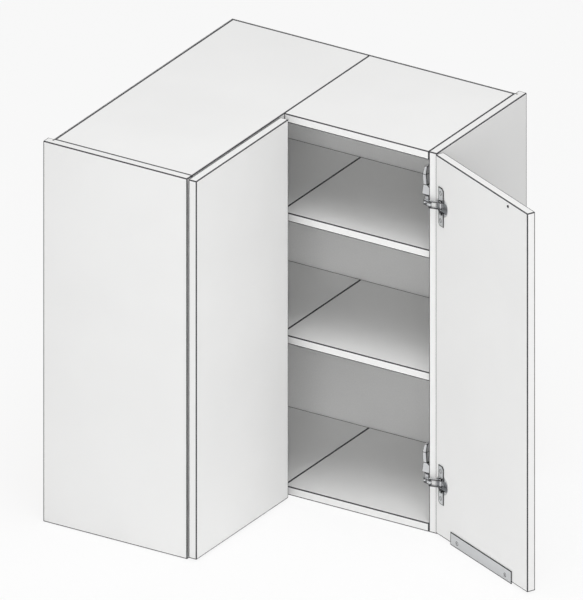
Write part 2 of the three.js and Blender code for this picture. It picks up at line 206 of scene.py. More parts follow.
class Shell:
    """Closed surfaces as flat arrays: points, the corners of all faces one after another,
    how many corners each face has, and what each face shows."""

    def __init__(self, points, loops, sizes, kinds):
        self.points = np.asarray(points, float).reshape(-1, 3)
        self.loops = np.asarray(loops, np.int32)
        self.sizes = np.asarray(sizes, np.int32)
        self.kinds = np.asarray(kinds, np.int32)

    def __add__(self, other):
        return Shell(
            np.concatenate([self.points, other.points]),
            np.concatenate([self.loops, other.loops + len(self.points)]),
            np.concatenate([self.sizes, other.sizes]),
            np.concatenate([self.kinds, other.kinds]),
        )

    def at(self, points):
        return Shell(points, self.loops, self.sizes, self.kinds)

    def moved(self, offset):
        return self.at(self.points + np.asarray(offset, float))

    def shown_as(self, kind):
        return Shell(self.points, self.loops, self.sizes, np.full(len(self.sizes), kind))

    def flipped(self):
        return Shell(self.points, self.loops[::-1], self.sizes[::-1], self.kinds[::-1])

    def upright(self, axis):
        """Its third axis laid along the given axis, the others kept in their order."""
        if axis == ALONG:
            return self.at(self.points[:, [2, 0, 1]])
        if axis == OUT:
            return self.at(self.points[:, [0, 2, 1]]).flipped()
        return self


def joined(shells):
    total = shells[0]
    for shell in shells[1:]:
        total = total + shell
    return total


def loft(rings, side_kinds=None, low_kind=FACE, closed=False):
    """Rings of points joined in order: P(i, j) runs round ring i with j. The two end rings
    are capped, or joined to each other when the loft closes on itself."""
    count, around = rings.shape[:2]
    index = np.arange(count * around).reshape(count, around)
    below = index if closed else index[:-1]
    above = np.roll(index, -1, axis=0) if closed else index[1:]
    quads = np.stack([below, np.roll(below, -1, 1), np.roll(above, -1, 1), above], axis=-1)
    kinds = np.full(quads.shape[:2], FACE) if side_kinds is None else side_kinds
    loops, sizes, shown = quads.ravel(), np.full(kinds.size, 4), kinds.ravel()
    if not closed:
        loops = np.concatenate([loops, index[0][::-1], index[-1]])
        sizes = np.append(sizes, [around, around])
        shown = np.append(shown, [low_kind, FACE])
    return Shell(rings, loops, sizes, shown)


def outline_normals(core, steps):
    """The outward normals n(t) round a convex outline, and the corner c(t) that each belongs
    to: they sweep from one side to the next, so c(t) + r n(t) is the outline grown by r."""
    side = np.roll(core, -1, axis=0) - core
    normal = np.arctan2(-side[:, 0], side[:, 1])
    before = np.roll(normal, 1)
    sweep = (normal - before + TINY) % (2 * np.pi) - TINY
    counts = np.maximum(1, np.round(steps * sweep / (np.pi / 2)).astype(int))
    angles = [a + b * np.linspace(0, 1, n + 1) for a, b, n in zip(before, sweep, counts)]
    return np.repeat(np.arange(len(core)), counts + 1), np.concatenate(angles)


def straight_columns(corner):
    """Where the outline runs from one corner to the next."""
    return np.flatnonzero(np.roll(corner, -1) != corner)


def mitres(outline):
    """How far each corner of a convex outline moves when all its sides move out by one:
    (a + b) / (1 + a . b) for the outward normals a and b of the sides that meet there."""
    side = np.roll(outline, -1, axis=0) - outline
    normal = np.stack([side[:, 1], -side[:, 0]], axis=1)
    normal /= np.linalg.norm(normal, axis=1)[:, None]
    before = np.roll(normal, 1, axis=0)
    share = np.maximum(1 + np.sum(normal * before, axis=1), TINY)
    return (normal + before) / share[:, None]


def shrunk(outline, inset):
    outline = np.asarray(outline, float)
    return outline - inset * mitres(outline)


def with_line_stops(core, line):
    """The outline with two more points on each side, a line's width from its corners."""
    after = np.roll(core, -1, axis=0)
    step = (after - core) * (line / np.linalg.norm(after - core, axis=1))[:, None]
    return np.stack([core, core + step, after - step], axis=1).reshape(-1, 2)


def rounded_prism(
    core, radius, low, high, edge, line=0.0, steps=3, low_kind=FACE, corner_kind=ARRIS
):
    """A convex outline grown by radius and carried from low to high, with rounded arrises:
    P = c(t) + (radius - e (1 - cos f)) n(t), height = end -+ e (1 - sin f). A line shown as
    the arris, which boards and steel paint dark as painted shade, runs on along each flat face
    beside it."""
    core = np.asarray(core, float)
    core = with_line_stops(core, line) if line else core
    corner, angle = outline_normals(core, steps)
    fillet = np.linspace(0, np.pi / 2, steps + 1)
    inset = edge * (1 - np.cos(fillet))
    drop = edge * (1 - np.sin(fillet))
    if line:
        widest_share = 0.45  # of a thin side, so that its two lines stay apart
        side_line = min(line, widest_share * (high - low) - edge)
        inset = np.concatenate([[0], inset, [edge + line]])
        drop = np.concatenate([[edge + side_line], drop, [0]])
    reach = radius - np.concatenate([inset[::-1], inset])[:, None, None]
    height = np.concatenate([low + drop[::-1], high - drop])
    normal = np.stack([np.cos(angle), np.sin(angle)], axis=1)
    plan = core[corner] + np.maximum(reach, 0) * normal
    plan = plan + np.minimum(reach, 0) * mitres(core)[corner]
    heights = np.broadcast_to(height[:, None, None], plan.shape[:2] + (1,))
    kinds = np.full((len(height) - 1, len(angle)), ARRIS)
    straight = straight_columns(corner)
    kinds[len(inset) - 1] = corner_kind
    kinds[len(inset) - 1, straight[1::3] if line else straight] = BAND
    return loft(np.concatenate([plan, heights], axis=2), kinds, low_kind)


def board(low, high, axis, radius, **kinds):
    """A board between two corners, thin along the given axis, with every arris rounded."""
    low, high = np.asarray(low, float), np.asarray(high, float)
    rest = [i for i in range(3) if i != axis]
    (x0, y0), (x1, y1) = low[rest] + radius, high[rest] - radius
    core = [(x0, y0), (x1, y0), (x1, y1), (x0, y1)]
    return rounded_prism(core, radius, low[axis], high[axis], radius, **kinds).upright(axis)


def turned(profile, axis, place, sides=ROUND_SIDES, kind=FACE):
    """A closed profile (r, h) turned round an axis: P = (r cos t, r sin t, h). It is taken
    in the direction that gives a positive volume, so that its faces point outwards."""
    radius, height = np.asarray(profile, float).T
    after, rise = np.roll(radius, -1), np.roll(height, -1) - height
    if np.sum((radius**2 + radius * after + after**2) * rise) < 0:
        radius, height = radius[::-1], height[::-1]
    angle = np.linspace(0, 2 * np.pi, sides, endpoint=False)
    x = radius[:, None] * np.cos(angle)
    y = radius[:, None] * np.sin(angle)
    z = np.broadcast_to(height[:, None], x.shape)
    shell = loft(np.stack([x, y, z], axis=2), closed=radius[0] > 0).upright(axis)
    return shell.moved(np.insert(np.asarray(place, float), axis, 0.0)).shown_as(kind)


def pin(radius, low, high, axis, place, chamfer=mm(0.2), sides=PIN_SIDES, kind=FACE):
    """A plain pin with chamfered ends."""
    neck = radius - chamfer
    profile = [(0, low), (neck, low), (radius, low + chamfer)]
    profile += [(radius, high - chamfer), (neck, high), (0, high)]
    return turned(profile, axis, place, sides, kind)


def strap(heights, inner, outer, front, rear, radius, folds, steps=3):
    """A strap that follows stations: its section at height i is a rounded rectangle from
    inner(i) to outer(i), of the same depth all the way. Its ends and folds carry painted shade:
    dark lines where the strap turns."""
    signs = np.array([(-1, -1), (1, -1), (1, 1), (-1, 1)], float)
    corner, angle = outline_normals(signs, steps)
    sign = signs[corner]
    inner, outer = inner[:, None], outer[:, None]
    u = (inner + outer) / 2 + sign[:, 0] * ((outer - inner) / 2 - radius) + radius * np.cos(angle)
    v = (front + rear) / 2 + sign[:, 1] * ((front - rear) / 2 - radius) + radius * np.sin(angle)
    rings = [u, np.broadcast_to(v, u.shape), np.broadcast_to(heights[:, None], u.shape)]
    kinds = np.full((len(heights) - 1, len(angle)), ARRIS)
    kinds[:, straight_columns(corner)] = BAND
    # Ends and folds take the arris faces, painted dark as shade at the creases.
    kinds[[0, *folds, -1]] = ARRIS
    return loft(np.stack(rings, axis=2), kinds)


def placed(name, data):
    """A new object in the scene that shows the data."""
    thing = bpy.data.objects.new(name, data)
    bpy.context.scene.collection.objects.link(thing)
    return thing


def clean_mesh(name, shell):
    """A Blender mesh with its doubled points merged and its empty faces dissolved."""
    mesh = bpy.data.meshes.new(name)
    mesh.vertices.add(len(shell.points))
    mesh.loops.add(len(shell.loops))
    mesh.polygons.add(len(shell.sizes))
    mesh.vertices.foreach_set("co", shell.points.astype(np.float32).ravel())
    mesh.loops.foreach_set("vertex_index", shell.loops)
    mesh.polygons.foreach_set("loop_start", np.cumsum(shell.sizes, dtype=np.int32) - shell.sizes)
    mesh.polygons.foreach_set("material_index", shell.kinds)
    mesh.update(calc_edges=True)
    work = bmesh.new()
    work.from_mesh(mesh)
    least = mm(0.001)
    bmesh.ops.remove_doubles(work, verts=work.verts, dist=least)
    bmesh.ops.dissolve_degenerate(work, edges=work.edges, dist=least)
    work.to_mesh(mesh)
    work.free()
    return mesh


def shell_of(mesh):
    """The flat arrays of a Blender mesh."""
    points = np.empty(3 * len(mesh.vertices), np.float32)
    loops = np.empty(len(mesh.loops), np.int32)
    sizes = np.empty(len(mesh.polygons), np.int32)
    kinds = np.empty(len(mesh.polygons), np.int32)
    mesh.vertices.foreach_get("co", points)
    mesh.loops.foreach_get("vertex_index", loops)
    mesh.polygons.foreach_get("loop_total", sizes)
    mesh.polygons.foreach_get("material_index", kinds)
    return Shell(points, loops, sizes, kinds)


def carved(shell, cutters):
    """The shell with the cutters taken out; a cut face shows what its cutter shows."""
    things = []
    for part in (shell, *cutters):
        thing = placed("carving", clean_mesh("carving", part))
        for _ in range(CORE + 1):
            thing.data.materials.append(None)
        things.append(thing)
    body = things[0]
    for tool in things[1:]:
        cut = body.modifiers.new("cut", "BOOLEAN")
        cut.operation = "DIFFERENCE"
        cut.solver = "EXACT"
        cut.object = tool
    evaluated = body.evaluated_get(bpy.context.evaluated_depsgraph_get())
    result = shell_of(evaluated.to_mesh())
    evaluated.to_mesh_clear()
    for thing in things:
        data = thing.data
        bpy.data.objects.remove(thing)
        bpy.data.meshes.remove(data)
    return result


def finished(name, shell, place, materials, sharp=38.0):
    """A finished piece: its place is in its mesh, faces that meet at more than the sharp
    angle keep their edge, and large flat faces stay flat beside their rounded arrises."""
    shell = shell.at(place.row(shell.points)) if place else shell
    shell = shell.flipped() if place and place.mirrored else shell
    mesh = clean_mesh(name, shell)
    mesh.polygons.foreach_set("use_smooth", np.ones(len(mesh.polygons), bool))
    mesh.set_sharp_from_angle(angle=math.radians(sharp))
    if len(materials) == 1:
        mesh.polygons.foreach_set("material_index", np.zeros(len(mesh.polygons), np.int32))
    for material in materials:
        mesh.materials.append(material)
    piece = placed(name, mesh)
    weighted = piece.modifiers.new("flat faces", "WEIGHTED_NORMAL")
    weighted.keep_sharp = True
    return piece


def stand_for(node, shell, place, materials):
    """The finished piece that replaces a node and rides on the node's body."""
    piece = finished(f"{node}_finished", shell, place, materials)
    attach(piece, frame["nodes"][node]["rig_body"])
    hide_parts(node)


def fixed_extra(name, shell, place, materials):
    """A finished piece on the carcass that has no node of its own."""
    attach(finished(name, shell, place, materials), "root")


# ---- Materials ----


class Wire:
    """A shader socket that takes part in Python expressions and adds its Math nodes."""

    def __init__(self, finish, socket):
        self.finish = finish
        self.socket = socket

    def maths(self, operation, *values, clamp=False):
        settings = {"operation": operation, "use_clamp": clamp}
        return self.finish.node("ShaderNodeMath", settings, dict(enumerate(values)))

    def __add__(self, other):
        return self.maths("ADD", self, other)

    __radd__ = __add__

    def __sub__(self, other):
        return self.maths("SUBTRACT", self, other)

    def __rsub__(self, other):
        return self.maths("SUBTRACT", other, self)

    def __mul__(self, other):
        return self.maths("MULTIPLY", self, other)

    __rmul__ = __mul__

    def above(self, level, softness):
        """0 below the level and 1 above it, over a soft step."""
        return self.maths("MULTIPLY", self - level, 1 / softness, clamp=True)


class Finish:
    """One material: a Principled shader, and nodes made from expressions."""

    MIX_SOCKETS = {"first": 6, "second": 7, "result": 2}  # the colour sockets of a Mix node

    def __init__(self, name, colour, roughness, metallic=0.0):
        self.colour = colour
        self.material = bpy.data.materials.new(name)
        self.material.use_nodes = True
        self.material.diffuse_color = colour
        self.tree = self.material.node_tree
        self.shader = self.tree.nodes["Principled BSDF"]
        self.shader.inputs["Base Color"].default_value = colour
        self.shader.inputs["Roughness"].default_value = roughness
        self.shader.inputs["Metallic"].default_value = metallic

    def feed(self, socket, value):
        if isinstance(value, Wire):
            self.tree.links.new(value.socket, socket)
        else:
            socket.default_value = value

    def node(self, kind, settings, values, output=0):
        made = self.tree.nodes.new(kind)
        for name, value in settings.items():
            setattr(made, name, value)
        for name, value in values.items():
            self.feed(made.inputs[name], value)
        return Wire(self, made.outputs[output])

    def place(self, scale=(1, 1, 1), turn=0.0):
        """Object coordinates, turned about the upright and then stretched."""
        at = self.node("ShaderNodeTexCoord", {}, {}, "Object")
        if turn:
            at = self.node("ShaderNodeMapping", {}, {"Vector": at, "Rotation": (0, 0, turn)})
        return self.node("ShaderNodeMapping", {}, {"Vector": at, "Scale": scale})

    def noise(self, scale, place=None, detail=2.0, roughness=0.5):
        """Noise of so many waves to the metre, on object coordinates or on another place."""
        place = place or self.place()
        values = {"Vector": place, "Scale": scale, "Detail": detail, "Roughness": roughness}
        return self.node("ShaderNodeTexNoise", {}, values, "Fac")

    def shades(self, dark, light, factor):
        """The colour times dark where the factor is 0, and times light where it is 1."""
        first, second = shade(self.colour, dark), shade(self.colour, light)
        sockets = self.MIX_SOCKETS
        values = {"Factor": factor, sockets["first"]: first, sockets["second"]: second}
        return self.node("ShaderNodeMix", {"data_type": "RGBA"}, values, sockets["result"])

    def bump(self, height, strength, distance):
        values = {"Height": height, "Strength": strength, "Distance": distance}
        return self.node("ShaderNodeBump", {}, values, "Normal")

    def varies(self, colour=None, roughness=None, normal=None):
        sockets = {"Base Color": colour, "Roughness": roughness, "Normal": normal}
        for name, wire in sockets.items():
            if wire is not None:
                self.feed(self.shader.inputs[name], wire)
        return self.material


def shade(colour, amount):
    return tuple(min(1.0, channel * amount) for channel in colour[:3]) + (1.0,)


def melamine(name, colour):
    """Melamine paper: a pearl grain under a satin surface, with the faintest clouding."""
    made = Finish(name, colour, 0.46)
    made.shader.inputs["Specular IOR Level"].default_value = 0.25
    pearl = made.noise(1500.0, detail=3.0)
    cloud = made.noise(5.0)
    tone = made.shades(0.975, 1.0, cloud.above(0.35, 0.3))
    return made.varies(tone, 0.40 + 0.12 * pearl, made.bump(pearl, 0.10, mm(0.06)))


def edge_band(name, colour):
    """Plastic edge band: smoother than the face, with slight waves from the scraper."""
    made = Finish(name, colour, 0.34)
    waves = made.noise(220.0)
    fine = made.noise(2600.0)
    tone = made.shades(0.96, 1.0, fine.above(0.4, 0.2))
    return made.varies(tone, 0.28 + 0.12 * waves, made.bump(waves, 0.06, mm(0.08)))


def arris_line(name, colour):
    """The rounded corner and the line beside it, darker than the faces that meet there: painted
    shade that outlines each edge, laid over the band's real hairline glue line.
    """
    made = Finish(name, colour, 0.5)
    uneven = made.noise(160.0, detail=3.0)
    return made.varies(made.shades(0.8, 1.2, uneven), 0.44 + 0.14 * uneven)


def chipboard(name, colour):
    """Raw particle board in a bore or groove: pressed chips of mixed tone."""
    made = Finish(name, colour, 0.85)
    cells = made.node("ShaderNodeTexVoronoi", {}, {"Vector": made.place(), "Scale": 700.0}, 1)
    chips = made.node("ShaderNodeSeparateColor", {}, {"Color": cells})
    dust = made.noise(2200.0, detail=4.0)
    tone = made.shades(0.62, 1.15, chips)
    return made.varies(tone, normal=made.bump(chips + dust * 0.5, 0.5, mm(0.2)))


def lacquered_hardboard(name, colour):
    """The back's inner face: thin lacquer with a slight orange peel."""
    made = Finish(name, colour, 0.5)
    peel = made.noise(420.0)
    tone = made.shades(0.97, 1.0, peel.above(0.4, 0.25))
    return made.varies(tone, 0.42 + 0.16 * peel, made.bump(peel, 0.12, mm(0.08)))


def raw_hardboard(name, colour):
    """The back's wall side: pressed brown fibre with a screen texture."""
    made = Finish(name, colour, 0.9)
    fibre = made.noise(240.0, detail=8.0, roughness=0.7)
    patch = made.noise(9.0, detail=3.0)
    screen = made.noise(900.0)
    tone = made.shades(0.72, 1.16, 0.6 * fibre + 0.4 * patch)
    return made.varies(tone, normal=made.bump(fibre + 0.4 * screen, 0.5, mm(0.25)))


def plated_steel(name, colour, roughness):
    """Nickel plate on pressed steel: draw marks along the height and handling haze."""
    made = Finish(name, colour, roughness, metallic=1.0)
    haze = made.noise(90.0, detail=4.0)
    draw = made.noise(900.0, made.place((1, 1, 0.12)), detail=3.0)
    tone = made.shades(0.86, 1.06, haze)
    rough = roughness - 0.06 + 0.12 * haze + 0.05 * draw
    return made.varies(tone, rough, made.bump(draw, 0.12, mm(0.03)))


def brushed_aluminium(name, colour, turn):
    """Anodised strip, brushed along its length; turn lays the strokes along the strip."""
    made = Finish(name, colour, 0.36, metallic=1.0)
    strokes = made.noise(1600.0, made.place((0.02, 1, 1), turn), detail=4.0)
    waves = made.noise(60.0, made.place((0.2, 1, 1), turn))
    tone = made.shades(0.88, 1.05, strokes)
    rough = 0.28 + 0.14 * strokes + 0.06 * waves
    return made.varies(tone, rough, made.bump(strokes, 0.2, mm(0.02)))


def moulded(name, colour):
    """Moulded plastic with a fine spark texture."""
    made = Finish(name, colour, 0.5)
    spark = made.noise(1300.0, detail=3.0)
    tone = made.shades(0.9, 1.0, spark)
    return made.varies(tone, 0.42 + 0.18 * spark, made.bump(spark, 0.25, mm(0.05)))


def turned_beech(name, colour):
    """Turned beech: fine grain with short darker flecks."""
    made = Finish(name, colour, 0.7)
    grain = made.noise(260.0, detail=6.0)
    fleck = made.noise(1400.0, made.place((1, 1, 0.3))).above(0.6, 0.1)
    tone = made.shades(0.78, 1.08, grain - 0.25 * fleck)
    return made.varies(tone, normal=made.bump(grain, 0.3, mm(0.1)))


def kept(maker, name, colour, *values):
    """The material of that name, made the first time it is asked for."""
    return bpy.data.materials.get(name) or maker(name, tuple(colour), *values)


def boards_look():
    return bpy.context.scene.cabinet_boards


def metal_look():
    return bpy.context.scene.cabinet_metal


def board_materials():
    look = boards_look()
    return [
        kept(melamine, "melamine_face", look.face_colour),
        kept(arris_line, "arris_line", look.arris_shade_colour),
        kept(edge_band, "edge_band", look.band_colour),
        kept(raw_hardboard, "raw_hardboard", look.raw_back_colour),
        kept(chipboard, "chipboard_core", look.core_colour),
    ]


def steel_materials():
    """Plated steel, with its edges and screw recesses painted near black: painted shade along the
    edges and in the hollows, far darker than the sheared edges' own tone.
    """
    look, sheared_and_shade_roughness = metal_look(), 0.5
    plate = kept(plated_steel, "plated_steel", look.steel_colour, look.steel_roughness)
    sheared_and_shade = kept(plated_steel, "sheared_steel", look.steel_edge_shade_colour, sheared_and_shade_roughness)
    return [plate, sheared_and_shade, plate, plate, sheared_and_shade]


def board_piece(node, shell, place):
    stand_for(node, shell, place, board_materials())


def steel_piece(node, shells, place):
    stand_for(node, joined(shells), place, steel_materials())


# ---- Settings ----


def length_setting(name, default, description):
    return bpy.props.FloatProperty(
        name=name, default=mm(default), description=description, unit="LENGTH", precision=5
    )


def number_setting(name, default, description):
    return bpy.props.FloatProperty(name=name, default=default, description=description, min=0.0)


def angle_setting(name, default, description):
    return bpy.props.FloatProperty(
        name=name, default=math.radians(default), description=description, subtype="ANGLE"
    )


def colour_setting(name, default, description):
    return bpy.props.FloatVectorProperty(
        name=name,
        default=(*default, 1.0),
        description=description,
        subtype="COLOR",
        size=4,
        min=0.0,
        max=1.0,
    )


class CabinetBoards(bpy.types.PropertyGroup):
    """Sizes and colours of the boards, doors and backs"""

    arris: length_setting("Arris", 0.8, "Rounding of the boards' corners")
    # The dark line is painted shade that outlines each arris.
    line: length_setting("Arris line", 1.0, "Width of the dark line on each side of an arris")
    back_arris: length_setting("Back arris", 0.4, "Rounding of the thin backs")
    groove: length_setting("Groove", 6, "Depth of the end panels' grooves for the backs")
    groove_width: length_setting("Groove width", 3.6, "Width of the same grooves")
    cam_radius: length_setting("Cam cap", 7.2, "Radius of the caps over the cam fittings")
    face_colour: colour_setting("Face", (0.86, 0.86, 0.855), "Melamine face")
    band_colour: colour_setting("Edge band", (0.84, 0.84, 0.835), "Plastic edge band")
    # Near black: painted shade along the arrises, far darker than a real glue line.
    arris_shade_colour: colour_setting("Line colour", (0.035, 0.035, 0.04), "Glue line at the corners")
    back_colour: colour_setting("Back inside", (0.85, 0.85, 0.845), "Lacquered hardboard")
    raw_back_colour: colour_setting("Back outside", (0.40, 0.27, 0.16), "Raw hardboard")
    core_colour: colour_setting("Core", (0.55, 0.42, 0.27), "Raw particle board")
    dowel_colour: colour_setting("Dowels", (0.62, 0.45, 0.27), "Turned beech")


class CabinetMetal(bpy.types.PropertyGroup):
    """Sizes and colours of the hinges, strips, hangers and screws"""

    steel_colour: colour_setting("Steel", (0.52, 0.53, 0.54), "Nickel-plated steel")
    # Near black: painted shade along the steel's edges and in its screw recesses, beyond the
    # sheared edges' own tone.
    steel_edge_shade_colour: colour_setting("Sheared edge", (0.03, 0.03, 0.033), "Edges and recesses")
    # The dark lines beside steel edges and round a grip strip are painted shade.
    steel_shade_line: length_setting("Edge line", 0.8, "Width of the dark line on each side of an edge")
    strip_shade_line: length_setting("Strip line", 1.3, "Width of the dark line round a grip strip")
    steel_roughness: number_setting("Steel roughness", 0.34, "Roughness of the plated steel")
    strip_colour: colour_setting("Grip strip", (0.70, 0.71, 0.72), "Anodised aluminium")
    bumper_colour: colour_setting("Bumper", (0.045, 0.045, 0.05), "Soft grey polymer")
    nylon_colour: colour_setting("Nylon", (0.78, 0.78, 0.77), "Hangers and cam caps")
    cup_from_edge: length_setting("Cup place", 20.5, "Door's hinged edge to the cup's centre")
    cup_radius: length_setting("Cup radius", 17.5, "Outside of the hinge cup")
    cup_depth: length_setting("Cup depth", 11.2, "Depth of the cup in the door")
    pocket_half: length_setting("Pocket", 9, "Half the height of the pocket between the cheeks")
    wing_height: length_setting("Wing height", 72.6, "From tip to tip of the cup's wings")
    screw_spacing: length_setting("Cup screws", 51.4, "Between the two screws of a cup")
    link_radius: length_setting("Link radius", 2.8, "Half width of a link")
    fin_height: length_setting("Fin height", 62, "Top of the fin above the hinge's middle")
    strip_length: length_setting("Strip length", 192, "Length of a grip strip")
    strip_screw_spacing: length_setting("Strip screws", 151, "Between a grip strip's screws")


class CabinetStage(bpy.types.PropertyGroup):
    """Camera and light"""

    azimuth: angle_setting("Azimuth", 32.0, "Camera bearing round the upright")
    elevation: angle_setting("Elevation", 25.0, "Camera height above the level")
    pixels_per_metre: number_setting("Scale", 583.0, "Picture scale across the view")
    aim_across: number_setting("Aim across", 285.0, "Picture column of the cabinet's middle")
    aim_down: number_setting("Aim down", 307.0, "Picture row of the cabinet's middle")
    lamp_azimuth: angle_setting("Lamp azimuth", 38.0, "Bearing of both lamps")
    front_elevation: angle_setting("Front lamp height", 14.0, "Height of the lamp in front")
    front_power: number_setting("Front lamp", 58.0, "Power of the lamp in front, in watts")
    top_elevation: angle_setting("Top lamp height", 75.0, "Height of the lamp above")
    top_power: number_setting("Top lamp", 64.0, "Power of the lamp above, in watts")
    lamp_distance: length_setting("Lamp distance", 3600, "From the cabinet's middle to a lamp")
    lamp_size: length_setting("Lamp size", 2400, "Width and height of a lamp's face")
    sky: number_setting("Sky", 0.42, "Even light from all round")
    floor_glow: number_setting("Floor glow", 0.86, "Share of white in the floor as seen")


# ---- Boards and doors ----


def level_node(level, side):
    return f"{level}_{BOARD_OF[side]}"


def end_panel(side):
    """A board with the back's groove, whose end shows on the top edge."""
    look, leg = boards_look(), LegFrame(side)
    node = f"{side}_end_panel"
    low, high = leg.box(node)
    back_low, back_high = leg.box(f"{side}_back_panel")
    middle, half, corner = (back_low[1] + back_high[1]) / 2, look.groove_width / 2, mm(0.1)
    groove_low = (high[0] - look.groove, middle - half, -PAST)
    groove_high = (high[0] + PAST, middle + half, leg.height + PAST)
    groove = board(groove_low, groove_high, ALONG, corner).shown_as(CORE)
    panel = board(low, high, ALONG, look.arris, line=look.line)
    board_piece(node, carved(panel, [groove]), leg)


def cam_places(leg):
    """Where a fixed board's cam fittings sit: two near its end panel."""
    setback, shares = mm(34), (0.22, 0.78)
    return [(leg.thickness + setback, leg.depth * share) for share in shares]


def level_board(level, side):
    """One board of a level; the fixed ones have cam bores in their undersides."""
    look, leg = boards_look(), LegFrame(side)
    node = level_node(level, side)
    low, high = leg.box(node)
    shell = board(low, high, UP, look.arris, line=look.line)
    if level in FIXED_LEVELS:
        play, depth = mm([0.3, 1.6])
        radius = look.cam_radius + play
        bores = [
            pin(radius, low[2] - PAST, low[2] + depth, UP, place, kind=CORE)
            for place in cam_places(leg)
        ]
        shell = carved(shell, bores)
    board_piece(node, shell, leg)


def cam_caps(level, side):
    """Dished plastic caps over the cam fittings, just inside the board's underside."""
    leg = LegFrame(side)
    low, _ = leg.box(level_node(level, side))
    rim = boards_look().cam_radius
    dish, inner = rim - mm(2.2), mm(1.4)
    wall, floor, chamfer, bevel, front = mm([0.5, 0.35, 0.3, 0.2, 0.1])
    profile = [
        (0, inner), (rim, inner), (rim, wall), (rim - chamfer, bevel),
        (dish + bevel, front), (dish, floor), (0, floor),
    ]
    caps = [turned(profile, UP, place).moved((0, 0, low[2])) for place in cam_places(leg)]
    nylon = kept(moulded, "nylon", metal_look().nylon_colour)
    fixed_extra(f"{level}_{side}_cam_caps", joined(caps), leg, [nylon])


def door(side):
    """A door with banded edges all round and the bores of its two hinge cups."""
    look, metal = boards_look(), metal_look()
    width, thickness, bottom, top = door_size(side)
    shell = board((0, 0, bottom), (width, thickness, top), OUT, look.arris, line=look.line)
    play = mm(0.3)
    radius, depth = metal.cup_radius + play, metal.cup_depth + play
    spots = [(metal.cup_from_edge, hinge_height(side, height)) for height in HINGES]
    bores = [pin(radius, -PAST, depth, OUT, spot, sides=CUP_SIDES, kind=CORE) for spot in spots]
    board_piece(f"{side}_door", carved(shell, bores), HingeFrame(side, turned=True))


def back_panel(side):
    """A thin back, lacquered inside and raw towards the wall, with the hook's window."""
    look, leg = boards_look(), LegFrame(side)
    node = f"{side}_back_panel"
    low, high = leg.box(node)
    sheet = board(low, high, OUT, look.back_arris, line=look.line, low_kind=REAR)
    hook_low, hook_high = leg.box(f"{side}_hanger")
    play, under, beside, corner = mm([0.3, 13, 4, 1])
    window_low = (leg.thickness + play, -PAST, hook_low[2] + under)
    window_high = (hook_high[0] + beside, high[1] + PAST, hook_high[2])
    window = board(window_low, window_high, OUT, corner).shown_as(REAR)
    materials = board_materials()
    lacquered = kept(lacquered_hardboard, "lacquered_hardboard", look.back_colour)
    materials[FACE] = materials[BAND] = materials[CORE] = lacquered
    stand_for(node, carved(sheet, [window]), leg, materials)


def back_nails(side):
    """Flat-headed nails through the back into the rear edges of the boards."""
    leg = LegFrame(side)
    low, high = leg.box(f"{side}_back_panel")
    start, end, spacing, proud = mm([40, 30, 92, 0.8])
    first, last = low[0] + start, high[0] - end
    head = mm([(0, 0.9), (1.9, 0.9), (2.4, 0.6), (2.4, 0.2), (1.9, 0), (0, 0)])
    count = round((last - first) / spacing)
    shells = []
    for level in LEVELS:
        board_low, board_high = leg.box(level_node(level, side))
        height = (board_low[2] + board_high[2]) / 2
        for along in np.linspace(first, last, count):
            nail = turned(head, OUT, (along, height), sides=NAIL_SIDES)
            shells.append(nail.moved((0, low[1] - proud, 0)))
    fixed_extra(f"{side}_back_nails", joined(shells), leg, steel_materials())


# ---- Hinges ----

PIVOT_RADIUS = mm(1.2)
CUP_PLATE = -mm([1.8, 0.3])  # v of the cup plate's outer face and of its face to the door


def screw(radius, axis, place, face, inward, length=mm(8), ring=mm(0.6)):
    """A countersunk cross-head screw: the head stands proud of the face by a third of a
    millimetre, with a painted shade ring round it where its countersink is, and the shank runs
    inward."""
    shank, point, taper, root = radius * 0.5, mm(0.6), mm(2), mm(1.5)
    # The head's outline from the shank to the crown: share of the radius, and depth in mm.
    head = [(0.96, 0.35), (1, 0.15), (0.93, -0.1), (0.6, -0.3), (0, -0.36)]
    profile = [(0, length), (shank * 0.5, length - point), (shank, length - taper)]
    profile += [(shank, root), *((radius * share, mm(depth)) for share, depth in head)]
    reach, slot = radius * 0.58, radius * 0.17
    above, recess, corner = mm([3, 0.5, 0.08])
    # The cross recess shows as CORE, painted dark as shade in the hollow.
    cross = [
        board((-x, -y, -above), (x, y, recess), UP, corner).shown_as(CORE)
        for x, y in ((reach, slot), (slot, reach))
    ]
    body = carved(turned(profile, UP, (0, 0), sides=PIN_SIDES), cross)
    # The countersink's ring shows as CORE: a painted shade ring round the head.
    if ring:
        inside, outside = radius * 0.95, radius + ring
        sunk, lip, crown = mm([0.2, 0.05, 0.14])
        rim = [(inside, sunk), (outside, sunk), (outside, -lip), (inside, -crown)]
        body = body + turned(rim, UP, (0, 0), sides=PIN_SIDES, kind=CORE)
    laid = body.at(body.points * np.array([1, 1, inward]))
    laid = laid.flipped() if inward < 0 else laid
    return laid.upright(axis).moved(np.insert(np.asarray(place, float), axis, face))


def cross_pin(radius, z, reach, place):
    """A pin that stands as far above z as below it."""
    return pin(radius, z - reach, z + reach, UP, place)


